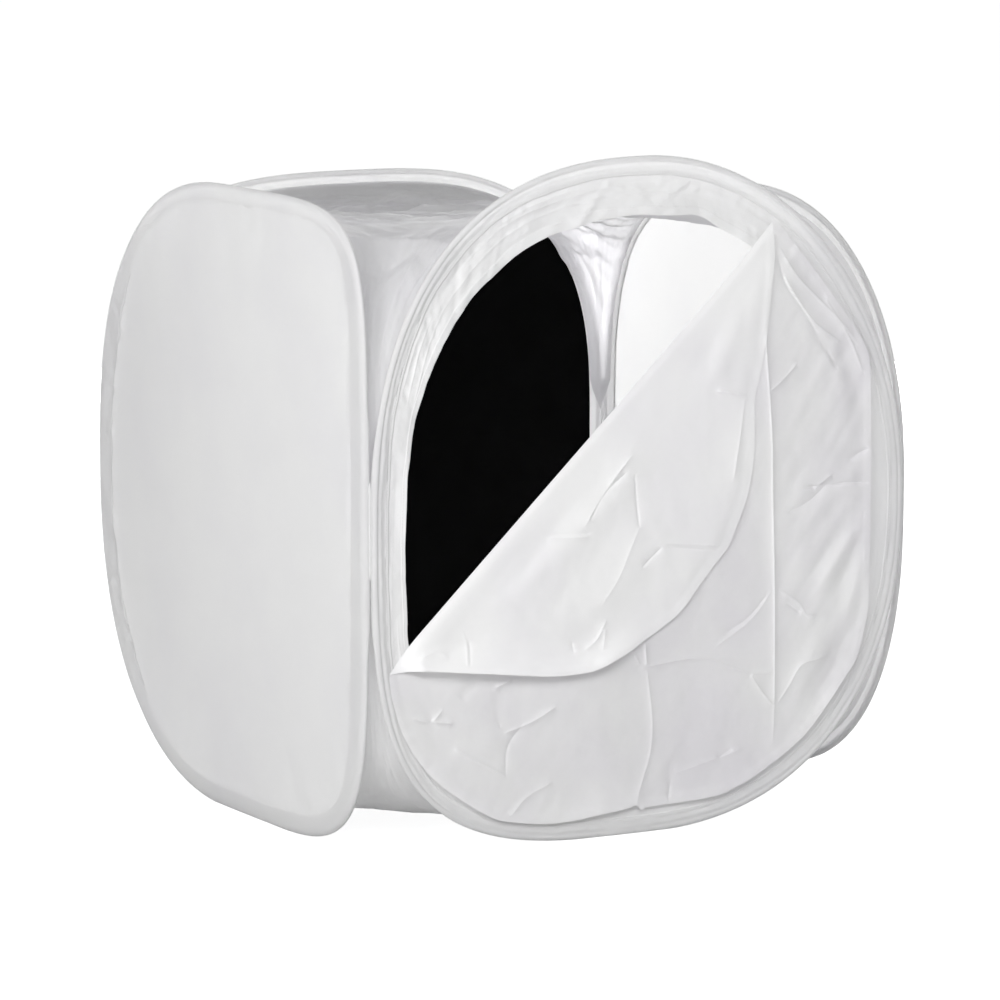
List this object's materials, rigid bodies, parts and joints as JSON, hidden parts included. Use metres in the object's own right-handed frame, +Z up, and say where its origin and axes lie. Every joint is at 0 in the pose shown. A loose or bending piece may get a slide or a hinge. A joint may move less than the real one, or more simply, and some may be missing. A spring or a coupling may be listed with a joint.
{
  "type": "light tent",
  "caption": "Collapsible cube of white diffusing cloth on sprung wire hoops, with one door corner folded open and a black backdrop inside.",
  "frame": {"origin": "on the floor, under the middle of the cube between the upright corner axes", "axes": "+Z up, -Y towards the front with the door, +X to the right seen from the front"},
  "size_m": [0.59, 0.59, 0.6399],
  "materials": {
    "diffusing_cloth": "matt, translucent white nylon",
    "sleeve_cloth": "matt white nylon, doubled and sewn",
    "roof_cloth": "matt white nylon, creased",
    "white_hook_and_loop": "napped white hook and loop tape",
    "black_velvet": "matt black velvet",
    "black_hook_tape": "matt black hook tape",
    "spring_steel": "blued spring steel",
    "ferrule_steel": "bright crimped tube"
  },
  "bodies": {
    "back_frame": {"back_spring_hoop": "spring_steel", "back_hoop_ferrule": "ferrule_steel", "back_sleeve": "sleeve_cloth", "back_panel": "diffusing_cloth", "back_left_binding": "sleeve_cloth", "back_right_binding": "sleeve_cloth", "top_panel": "roof_cloth", "bottom_panel": "roof_cloth", "backdrop_cloth": "black_velvet", "back_loop_strip_upper": "white_hook_and_loop", "back_loop_strip_lower": "white_hook_and_loop", "backdrop_hook_strip_upper": "black_hook_tape", "backdrop_hook_strip_lower": "black_hook_tape"},
    "left_frame": {"left_spring_hoop": "spring_steel", "left_hoop_ferrule": "ferrule_steel", "left_sleeve": "sleeve_cloth", "left_panel": "diffusing_cloth", "front_left_binding": "sleeve_cloth"},
    "right_frame": {"right_spring_hoop": "spring_steel", "right_hoop_ferrule": "ferrule_steel", "right_sleeve": "sleeve_cloth", "right_panel": "diffusing_cloth", "front_right_binding": "sleeve_cloth"},
    "front_frame": {"front_spring_hoop": "spring_steel", "front_hoop_ferrule": "ferrule_steel", "front_sleeve": "sleeve_cloth", "front_opening_ring": "diffusing_cloth", "ring_loop_tape": "white_hook_and_loop"},
    "door": {"door_lower_panel": "diffusing_cloth", "door_hook_tape": "white_hook_and_loop"},
    "door_flap": {"door_corner_flap": "diffusing_cloth"}
  },
  "joints": [
    {"name": "left_fold", "type": "hinge", "parent": "back_frame", "child": "left_frame", "pos_m": [-0.288, 0.288, 0.3078], "axis": [0, 0, 1], "range_deg": [-84, 84], "stiffness_Nm_per_rad": 0.4, "deforming": ["top_panel", "bottom_panel"]},
    {"name": "right_fold", "type": "hinge", "parent": "back_frame", "child": "right_frame", "pos_m": [0.288, 0.288, 0.3078], "axis": [0, 0, 1], "range_deg": [-84, 84]},
    {"name": "front_fold", "type": "hinge", "parent": "left_frame", "child": "front_frame", "pos_m": [-0.288, -0.288, 0.3078], "axis": [0, 0, 1], "range_deg": [-84, 84]},
    {"name": "door_release", "type": "slide", "parent": "front_frame", "child": "door", "axis": [0, -1, 0], "range_m": [0, 0.12]},
    {"name": "door_fold", "type": "hinge", "parent": "door", "child": "door_flap", "pos_m": [-0.069, -0.29436, 0.3713], "axis": [-0.7218, 0, -0.6921], "range_deg": [0, 180]}
  ],
  "couplings": [
    {"joint": "right_fold", "follows": "left_fold", "ratio": 1},
    {"joint": "front_fold", "follows": "left_fold", "ratio": -1}
  ]
}
